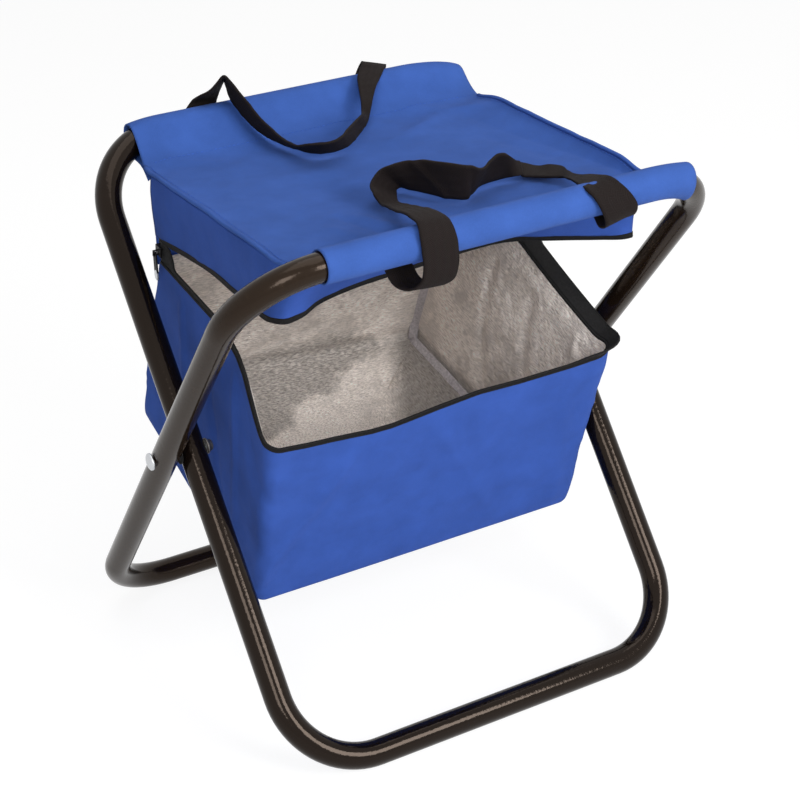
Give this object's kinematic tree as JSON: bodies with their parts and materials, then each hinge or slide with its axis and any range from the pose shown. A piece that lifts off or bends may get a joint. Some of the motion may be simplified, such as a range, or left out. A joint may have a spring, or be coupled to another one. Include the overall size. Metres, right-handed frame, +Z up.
{
  "type": "folding cooler stool",
  "caption": "Folding camp stool with crossed tubular steel frames, a fabric seat and an insulated zip bag hanging open beneath it.",
  "frame": {"origin": "on the floor under the pivot axis, midway between the legs", "axes": "+X along the rails, +Y to the rear, where the bag's seam is, +Z up"},
  "size_m": [0.3994, 0.3457, 0.4289],
  "materials": {
    "frame_enamel": "glossy dark brown-black enamel",
    "plug_steel": "plain mill finish",
    "rivet_steel": "bright zinc",
    "spacer_nylon": "plain black nylon",
    "blue_fabric": "woven blue polyester",
    "insulation_foam": "closed-cell foam",
    "silver_lining": "crinkled silver film",
    "zip_tape": "black woven tape",
    "seam_tape": "grey binding tape",
    "zip_metal": "dull nickel",
    "webbing": "black-brown polypropylene webbing"
  },
  "bodies": {
    "outer_frame": {"outer_frame_tube": "frame_enamel", "outer_frame_plug": "plug_steel", "front_sleeve": "blue_fabric", "pivot_rivet_left": "rivet_steel", "pivot_rivet_right": "rivet_steel", "pivot_spacer_left": "spacer_nylon", "pivot_spacer_right": "spacer_nylon", "pivot_nut_left": "rivet_steel", "pivot_nut_right": "rivet_steel"},
    "inner_frame": {"inner_frame_tube": "frame_enamel", "inner_frame_plug": "plug_steel", "rear_sleeve": "blue_fabric"},
    "seat": {"seat_panel": "blue_fabric", "lid_foam": "insulation_foam", "lid_lining": "silver_lining", "seat_welt_left": "blue_fabric", "seat_welt_right": "blue_fabric", "skirt_left": "blue_fabric", "skirt_right": "blue_fabric", "skirt_front": "blue_fabric", "skirt_rear": "blue_fabric", "upper_zip_tape": "zip_tape"},
    "bag": {"bag_shell": "blue_fabric", "bag_foam": "insulation_foam", "bag_lining": "silver_lining", "rim_binding": "zip_tape", "lower_zip_tape": "zip_tape", "seam_tape_rear_left": "seam_tape", "seam_tape_rear_right": "seam_tape", "seam_tape_front_left": "seam_tape", "seam_tape_front_right": "seam_tape", "seam_tape_bottom_left": "seam_tape", "seam_tape_bottom_right": "seam_tape"},
    "zip_slider": {"zip_slider": "zip_metal"},
    "zip_pull": {"zip_pull": "zip_metal"},
    "front_handle": {"front_handle": "webbing"},
    "rear_handle": {"rear_handle": "webbing"}
  },
  "joints": [
    {"name": "fold", "type": "hinge", "parent": "outer_frame", "child": "inner_frame", "pos_m": [0, 0, 0.20461], "axis": [1, 0, 0], "range_deg": [0, 70], "deforming": ["seat_panel", "lid_foam", "lid_lining", "seat_welt_left", "seat_welt_right", "skirt_left", "skirt_right", "skirt_front", "skirt_rear", "upper_zip_tape", "bag_shell", "bag_foam", "bag_lining", "rim_binding", "lower_zip_tape", "seam_tape_rear_left", "seam_tape_rear_right", "seam_tape_front_left", "seam_tape_front_right", "seam_tape_bottom_left", "seam_tape_bottom_right"]},
    {"name": "seat_fold", "type": "hinge", "parent": "outer_frame", "child": "seat", "pos_m": [0, 0, 0.20461], "axis": [1, 0, 0], "range_deg": [0, 35]},
    {"name": "bag_close", "type": "hinge", "parent": "inner_frame", "child": "bag", "pos_m": [0, 0.098, 0.315], "axis": [-1, 0, 0], "range_deg": [0, 25]},
    {"name": "zip_slide", "type": "slide", "parent": "bag", "child": "zip_slider", "axis": [0, -0.9899, -0.1415], "range_m": [0, 0.095]},
    {"name": "zip_pull_swing", "type": "hinge", "parent": "zip_slider", "child": "zip_pull", "pos_m": [-0.143, 0.0906, 0.3208], "axis": [0, 1, 0], "range_deg": [0, 30]},
    {"name": "front_handle_lift", "type": "hinge", "parent": "outer_frame", "child": "front_handle", "pos_m": [0, -0.15, 0.393], "axis": [1, 0, 0], "range_deg": [0, 80], "deforming": ["front_handle"]},
    {"name": "rear_handle_lift", "type": "hinge", "parent": "inner_frame", "child": "rear_handle", "pos_m": [0, 0.15, 0.393], "axis": [-1, 0, 0], "range_deg": [0, 80], "deforming": ["rear_handle"]}
  ],
  "couplings": [
    {"joint": "seat_fold", "follows": "fold", "ratio": 0.5}
  ]
}
